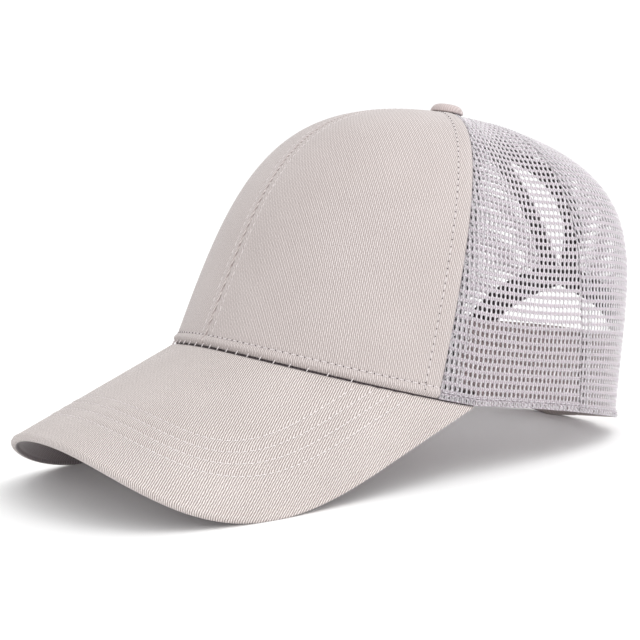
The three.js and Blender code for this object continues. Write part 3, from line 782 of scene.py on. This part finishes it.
# The back strap.
# Two tabs of twill with hook-and-loop facings, sewn under the back net; the wearer's right one goes inside.
strap_wall, strap_seat, strap_reach, strap_end_radius, strap_step = 1.6, 8.0, 26.0, 8.0, 16.0
strap_root = arch_half_width + strap_seat
strap_span = strap_root + strap_reach


def strap_surface(travel, row, sunk, is_inner):
    """A tab from its root past the middle: height between its two edges, which close in a quarter circle at
    its end, and a depth that steps in by one wall before it passes behind the other tab."""
    from_end = np.clip(strap_end_radius - (strap_span - travel), 0, strap_end_radius)
    rounding = strap_end_radius - np.sqrt(np.clip(strap_end_radius**2 - from_end**2, 0, None))
    height = rounding + (strap_height - 2 * rounding) * row
    angle = angle_at_x(strap_root - travel, arch_foot * height / strap_height)
    share = np.clip((travel - (strap_root - strap_reach - strap_step)) / strap_step, 0, 1)
    step = (strap_wall + layer_gap) * share**2 * (3 - 2 * share) if is_inner else 0 * share
    up = up_at_height(angle, height)
    return cloth_point(angle, up, mesh_wall + layer_gap + step + sunk), crown_slopes(angle, up)[2]


def kept_off_floor(points):
    """Points that would lie under the floor are lifted square to it, as the cap's weight flattens it."""
    lift = np.clip(-at_rest(points)[..., 2] * 1000, 0, None)
    return points + np.stack([0 * lift, -np.sin(rest_tip) * lift, np.cos(rest_tip) * lift], -1)


def banded(edge, first_count, middle_count, last_count):
    """Shares from nothing to one, close together near both ends."""
    middle = np.linspace(edge, 1 - edge, middle_count)[1:-1]
    return np.concatenate([np.linspace(0, edge, first_count), middle, np.linspace(1 - edge, 1, last_count)])


strap_cloth = cloth_material("strap twill", paint(168, 157, 154), paint(198, 188, 186), 1.25, 50, 2e-4)
end_turn = np.linspace(0, np.pi / 2, 12)[1:]
strap_curve = strap_span - strap_end_radius * (1 - np.sin(end_turn))
strap_travel = np.concatenate([np.linspace(0, strap_span - strap_end_radius, 90), strap_curve])
travel, row = np.meshgrid(strap_travel, banded(0.15, 8, 12, 8))
for side, mirror, is_inner in (("left", False, False), ("right", True, True)):
    edge = np.minimum(np.minimum(row, 1 - row) * strap_height, strap_span - travel + 0.2)
    soft = 0.45 * groove(edge, 0.5) + 0.14 * groove(edge - 2.2, 0.45)
    outer, inner = (
        kept_off_floor(strap_surface(travel, row, sunk, is_inner)[0]) for sunk in (soft, strap_wall - soft)
    )
    tab = wall(outer, inner, np.stack([travel, row * strap_height], -1))
    make_piece(f"strap_tab_{side}", tab, strap_cloth, f"back_strap_{side}", mirror)
    lines = [
        strap_surface(strap_travel[:-14], 0 * strap_travel[:-14] + place / strap_height, -0.02, is_inner)
        for place in (2.2, strap_height - 2.2)
    ]
    sewn = shape_of(*[stitch_row(*line, radius=0.16, lift=0.12) for line in lines])
    make_piece(f"strap_stitches_{side}", sewn, thread_cloth, mirror=mirror)


# The sweatband.
# A folded band of soft cotton twill, sewn to the rim and turned up inside it from one tab round to the other.
sweatband_height, sweatband_wall, sweatband_end, band_stitch = 36.0, 1.4, 42 * degrees, 3.0


def band_surface(angle, row, depth):
    """The band: a share of its height up the cloth, a depth inside it."""
    return cloth_point(angle, row * up_at_height(angle, sweatband_height), depth)


band_angle = np.linspace(-np.pi - sweatband_end, sweatband_end, 320)
angle, row = np.meshgrid(band_angle, banded(0.12, 7, 14, 9))
from_edge = np.minimum(row, 1 - row) * sweatband_height
band_soft = 0.4 * groove(from_edge, 0.6) + 0.15 * groove((1 - row) * sweatband_height - band_stitch, 0.5)
band_wave = 0.25 * np.sin(angle * 23) * row + 0.15 * np.sin(angle * 57 + 1) * row
band_depth = twill_wall + layer_gap
band_outer = band_surface(angle, row, band_depth + 0.2 * groove(from_edge, 0.6))
band_inner = band_surface(angle, row, band_depth + sweatband_wall - band_soft + band_wave)
band = wall(band_outer, band_inner, np.stack([lengths_along(band_outer, 1), row * sweatband_height], -1))
band_dark, band_light = paint(150, 136, 136), paint(188, 174, 173)
band_cloth = cloth_material("sweatband twill", band_dark, band_light, 1.0, 60, 1.8e-4, sheen=0.4)
make_piece("inner_band", band, band_cloth, "sweatband")
band_line = 0 * band_angle + 1 - band_stitch / sweatband_height
line = band_surface(band_angle, band_line, band_depth + sweatband_wall + band_wave[-1] - 0.1)
line_out = -crown_slopes(band_angle, band_line * 0.2)[2]
make_piece("band_stitches", stitch_row(line, line_out, radius=0.16, lift=0.12), thread_cloth)


# The peak.
# A curved board between two cloths, turned and sewn round the edge, with four rows of stitching parallel to
# the edge, and hand-length stitches across the joint where it meets the crown.
peak_length, peak_side_share, peak_edge_power, peak_edge_roundness, peak_wall = 80.6, 0.34, 2.8, 2.9, 3.2
peak_span = np.arcsin(peak_half_width / crown_half_width)
stitch_insets = (18.2, 23.4, 28.6, 33.8)


def peak_x(share):
    """The place across the peak of a share from -1 to 1, as the sine of an even turn."""
    return crown_half_width * np.sin(share * peak_span)


def peak_root(x):
    """Where the rim lies on the sheet: the front half of the rim's oval, as a distance out."""
    along = (1 - (np.abs(x) / crown_half_width) ** front_fullness) ** (1 / front_fullness)
    return sheet_out(x, -crown_front_reach * along)


def peak_edge(share):
    """The outer edge: straight out from each corner, then an oval of powers round the front."""
    rounded = np.clip(1 - np.abs(share) ** peak_edge_power, 0, 1) ** (1 / peak_edge_roundness)
    return corner_out + (peak_length - corner_out) * (peak_side_share + (1 - peak_side_share) * rounded)


def sheet_outward(x, step=1e-3):
    """The unit vector square to the sheet, from the slope of the arch."""
    slope = (arch_drop(x + step) - arch_drop(x - step)) / (2 * step)
    return unit(np.stack([slope, -np.sin(peak_droop) + 0 * x, np.cos(peak_droop) + 0 * x], -1))


arch_x = np.linspace(0, crown_half_width, 4000)
arch_run = lengths_along(np.stack([arch_x, arch_drop(arch_x)], -1), 0)


def spread(x):
    """Distance across the unrolled sheet from its crest line, run along the arch."""
    return np.sign(x) * np.interp(np.abs(x), arch_x, arch_run)


# The peak's outline on the unrolled sheet, with its straight sides carried on past the corners.
edge_share = np.sin(np.linspace(-np.pi / 2, np.pi / 2, 700))
edge_line = np.stack([spread(peak_x(edge_share)), peak_edge(edge_share)], -1)
side_line = np.linspace((0, float(corner_out) - 30 - edge_line[0, 1]), (0, 0), 120)[:-1]
edge_line = np.vstack([edge_line[0] + side_line, edge_line, edge_line[-1] + side_line[::-1]])


def distance_to(points, line):
    """Distance of points in the unrolled sheet from the nearest place on a line of short straight pieces."""
    start, step = line[:-1], np.diff(line, axis=0)
    length = np.maximum(np.sum(step**2, -1), 1e-9)
    nearest = np.full(points.shape[:-1], 1e9)
    for begin, move, square in zip(start, step, length):
        share = np.clip(np.sum((points - begin) * move, -1) / square, 0, 1)
        nearest = np.minimum(nearest, np.linalg.norm(points - begin - share[..., None] * move, axis=-1))
    return nearest


# A dip along each row of stitches, a swell between rows and near the edge, and a dip where the crown sits.
peak_columns = -np.sin(np.linspace(-np.pi / 2, np.pi / 2, 241))
peak_rows = np.linspace(0, 1, 130)
column, row = np.meshgrid(peak_columns, peak_rows)
x = peak_x(column)
out = peak_root(x) + (peak_edge(column) - peak_wall / 2 - peak_root(x)) * row
inset = distance_to(np.stack([spread(x), out], -1), edge_line[::4])
relief = 0.18 * groove(inset - 1.6, 1.3) - 0.8 * groove(out - peak_root(x), 0.9)
relief += sum(-0.34 * groove(inset - line_inset, 0.6) for line_inset in stitch_insets)
relief += sum(0.16 * groove(inset - line_inset + 2.6, 1.5) for line_inset in stitch_insets[1:])
under_relief = -0.5 * groove(inset - 2.4, 0.5) + 0.2 * groove(inset - 0.8, 1.0)
turn = np.linspace(0, np.pi, 9)[1:-1, None]
rim_x, rim_out = peak_x(peak_columns), peak_edge(peak_columns) - peak_wall / 2
rim_out = rim_out + np.sin(turn) * peak_wall / 2
rim_depth = peak_wall / 2 * (1 - np.cos(turn)) + 0 * rim_out
profile_x = np.vstack([x, rim_x + 0 * rim_out, x[::-1]])
profile_out = np.vstack([out, rim_out, out[::-1]])
profile_depth = np.vstack([-relief, rim_depth, (peak_wall + under_relief)[::-1]])
peak_points = sheet_point(profile_x, profile_out) - sheet_outward(profile_x) * profile_depth[..., None]
peak_points = kept_off_floor(peak_points - (0, 0, seam_gap))
peak_pattern = np.stack([spread(profile_x), profile_out + profile_depth], -1)


def tube(points, cloth):
    """A closed skin from a grid whose rows go round a section; its first and last columns are closed flat,
    each by a strip of faces between the two halves of the ring."""
    rows, columns = points.shape[:2]
    corner = np.arange(rows)[:, None] * columns + np.arange(columns - 1)
    after = np.roll(np.arange(rows), -1)[:, None] * columns + np.arange(columns - 1)
    skin = np.stack([corner, corner + 1, after + 1, after], -1).reshape(-1, 4)
    near, far = np.arange(rows // 2 - 1), rows - 1 - np.arange(rows // 2 - 1)
    first = np.stack([near, near + 1, far - 1, far], -1) * columns
    last = np.stack([far, far - 1, near + 1, near], -1) * columns + columns - 1
    return points.reshape(-1, 3), np.vstack([skin, first, last]), cloth.reshape(-1, 2)


peak_dark, peak_light = paint(140, 127, 123), paint(238, 230, 227)
peak_cloth = cloth_material("peak twill", peak_dark, peak_light, 0.89, -27, 2.6e-4, dash=0.2)
# The underside cloth is coloured darker than the top: painted shade under the peak.
underside_painted_shade = cloth_material("peak underside painted shade", paint(114, 105, 106), paint(144, 134, 136), 1.3, 35, 1.8e-4)
peak_piece = make_piece("peak_cloth", tube(peak_points, peak_pattern), peak_cloth, "peak")
peak_piece.data.materials.append(underside_painted_shade)
first_under = (len(peak_rows) + len(turn) - 1) * (len(peak_columns) - 1)
is_under = np.arange(len(peak_piece.data.polygons)) >= first_under
peak_piece.data.polygons.foreach_set("material_index", is_under.astype(np.int32))
# Each row of stitches is the outline moved inwards, where that is its true distance and clear of the rim.
step = np.gradient(edge_line, axis=0)
inward = unit(np.stack([step[:, 1], -step[:, 0]], -1))
peak_stitches = []
for line_inset in stitch_insets:
    line = edge_line + inward * line_inset
    line_x = np.sign(line[:, 0]) * np.interp(np.abs(line[:, 0]), arch_run, arch_x)
    good = (distance_to(line, edge_line) > line_inset - 0.2) & (line[:, 1] > peak_root(line_x) + 1.5)
    line_out = sheet_outward(line_x[good])
    path = sheet_point(line_x[good], line[good, 1]) - (0, 0, seam_gap) - line_out * 0.3
    peak_stitches.append(stitch_row(path, line_out, length=2.5, gap=0.5, radius=0.23, lift=0.24))
make_piece("peak_stitches", shape_of(*peak_stitches), thread_cloth)
joint_x = np.arange(-66, 66.1, 5.6)
joint_start = sheet_point(joint_x, peak_root(joint_x) - 0.2) + (0, 0, 1.1)
joint_end = sheet_point(joint_x, peak_root(joint_x) + 1.3) - (0, 0, 0.3)
joint_threads = threads(joint_start, joint_end, sheet_outward(joint_x), radius=0.26, lift=0.15)
make_piece("joint_stitches", joint_threads, thread_cloth)


# The button on the crown.
# A flat metal shell covered in the same twill, drawn round its edge in small folds, over the panels' meeting.
button_radius, button_height, button_foot, button_tilt = 7.4, 4.3, 2.0, 4 * degrees


def apex_slope(name, reach):
    """How steeply a section of the crown leaves the apex: its last handle's fall over its run."""
    section = sections[name]
    return np.arctan((1 - section["shoulder_up"]) * crown_depth / (section["shoulder_out"] * reach))


# An underside out to the skirt, then a dome: its reach is a low power of the cosine, its height the sine.
button_skirt = layer_gap - button_radius * np.tan(apex_slope("side", crown_half_width))
back_slope, front_slope = apex_slope("back", crown_back_reach), apex_slope("front", crown_front_reach)
button_lean = (back_slope - front_slope) / 2 - button_tilt
turn, share = np.meshgrid(np.linspace(0, 2 * np.pi, 97)[:-1], np.linspace(0, 1, 40))
dome, under = np.clip((share - 0.3) / 0.7, 0, 1) * np.pi / 2, np.clip(share / 0.3, 0, 1)
is_under = share < 0.3
under_r = button_foot + (button_radius - button_foot) * under
under_z = layer_gap + (button_skirt - layer_gap) * under
dome_z = button_skirt + (button_height - button_skirt) * np.sin(dome)
folds = 0.12 * np.sin(turn * 16 + np.sin(turn * 3)) * groove(share - 0.38, 0.12)
button_r = np.where(is_under, under_r, button_radius * np.cos(dome) ** 0.45) + folds
button_r = np.maximum(button_r - 0.35 * groove(share - 0.3, 0.02), 0.02)
flat = np.stack([button_r * np.cos(turn), button_r * np.sin(turn), np.where(is_under, under_z, dome_z)], -1)
lean_y = flat[..., 1] * np.cos(button_lean) + flat[..., 2] * np.sin(button_lean)
lean_z = flat[..., 2] * np.cos(button_lean) - flat[..., 1] * np.sin(button_lean)
button_points = np.stack([flat[..., 0], lean_y - apex_forward, lean_z + crown_depth], -1)
rows_count, turns = button_r.shape
corner = np.arange(rows_count - 1)[:, None] * turns + np.arange(turns)
beside = np.arange(rows_count - 1)[:, None] * turns + np.roll(np.arange(turns), -1)
skin = np.stack([corner, beside, beside + turns, corner + turns], -1).reshape(-1, 4)
pole = np.arange(0, turns // 2 - 1)
caps = np.stack([pole, pole + 1, turns - 2 - pole, turns - 1 - pole], -1)
quads = np.vstack([skin, caps[:, ::-1], caps + (rows_count - 1) * turns])
button_cloth = cloth_material("button twill", paint(182, 168, 166), paint(206, 194, 192), 0.9, 25, 1e-4)
button = (button_points.reshape(-1, 3), quads, flat[..., :2].reshape(-1, 2))
make_piece("covered_button", button, button_cloth, "top_button")


# Floor, light and camera.
# A plain white floor, three broad soft lamps, and a white surround that lights less from ahead of the cap's
# right, where the photograph's left side is in shade. The camera stands where the photograph was taken from.
floor_mesh = bpy.data.meshes.new("floor")
floor_mesh.from_pydata([(-30, -30, 0), (30, -30, 0), (30, 30, 0), (-30, 30, 0)], [], [(0, 1, 2, 3)])
floor = bpy.data.objects.new("floor", floor_mesh)
bpy.context.scene.collection.objects.link(floor)
floor_paint = bpy.data.materials.new("floor paint")
floor_paint.use_nodes = True
floor_shader = floor_paint.node_tree.nodes["Principled BSDF"]
floor_shader.inputs["Base Color"].default_value = (0.99, 0.99, 0.99, 1)
floor_shader.inputs["Roughness"].default_value = 0.9
floor_mesh.materials.append(floor_paint)

azimuth, elevation, roll, camera_distance = 55.165 * degrees, 7.846 * degrees, -2.693 * degrees, 0.7548
look_at = np.array([0, 0.00225, 0.05931])
picture_pixels, lens_pixels, shift_across, shift_up = 640, 1717.5, -12.4, 3.3
level_back = np.array([np.sin(azimuth), -np.cos(azimuth), 0]) * np.cos(elevation)
back = level_back + (0, 0, np.sin(elevation))
right = np.array([np.cos(azimuth), np.sin(azimuth), 0])
upward = np.cross(back, right)
rolled_right = right * np.cos(roll) + upward * np.sin(roll)
rolled_up = upward * np.cos(roll) - right * np.sin(roll)
turn_and_place = np.stack([rolled_right, rolled_up, back, look_at + back * camera_distance], -1)
camera_data = bpy.data.cameras.new("camera")
camera_data.sensor_width, camera_data.lens = 36, 36 * lens_pixels / picture_pixels
camera_data.shift_x, camera_data.shift_y = shift_across / picture_pixels, shift_up / picture_pixels
camera_data.clip_end = 100
camera = bpy.data.objects.new("camera", camera_data)
bpy.context.scene.collection.objects.link(camera)
camera.matrix_world = Matrix([*turn_and_place.tolist(), (0, 0, 0, 1)])
bpy.context.scene.camera = camera


def add_lamp(name, place, aim, size, power):
    """A square area lamp that faces its aim."""
    lamp_data = bpy.data.lights.new(name, "AREA")
    lamp_data.size, lamp_data.energy = size, power
    lamp = bpy.data.objects.new(name, lamp_data)
    lamp.location = place
    lamp.rotation_euler = (Vector(aim) - Vector(place)).to_track_quat("-Z", "Y").to_euler()
    bpy.context.scene.collection.objects.link(lamp)


add_lamp("high lamp", (0.7, 0.3, 1.6), (0, 0, 0.05), 0.9, 4.8)
add_lamp("front lamp", (0.8, -1.6, 0.8), (0, 0, 0.06), 1.0, 5.4)
add_lamp("side lamp", (0.8, 1.3, 0.35), (0, 0.05, 0.02), 0.8, 3.0)
world = bpy.data.worlds.new("surround")
world.use_nodes = True
tree = world.node_tree
aim = tree.nodes.new("ShaderNodeVectorMath")
aim.operation = "DOT_PRODUCT"
tree.links.new(tree.nodes.new("ShaderNodeTexCoord").outputs["Generated"], aim.inputs[0])
aim.inputs[1].default_value = (-0.62, -0.78, 0)
calc = calculator(tree)
facing = calc("MAXIMUM", calc("SUBTRACT", aim.outputs["Value"], 0.25), 0)
dim = calc("MULTIPLY_ADD", facing, -1.35, 1.2)
seen = tree.nodes.new("ShaderNodeLightPath").outputs["Is Camera Ray"]
tree.links.new(calc("MAXIMUM", dim, seen), tree.nodes["Background"].inputs["Strength"])
tree.nodes["Background"].inputs["Color"].default_value = (1, 1, 1, 1)
bpy.context.scene.world = world
bpy.context.scene.view_settings.view_transform = "Standard"
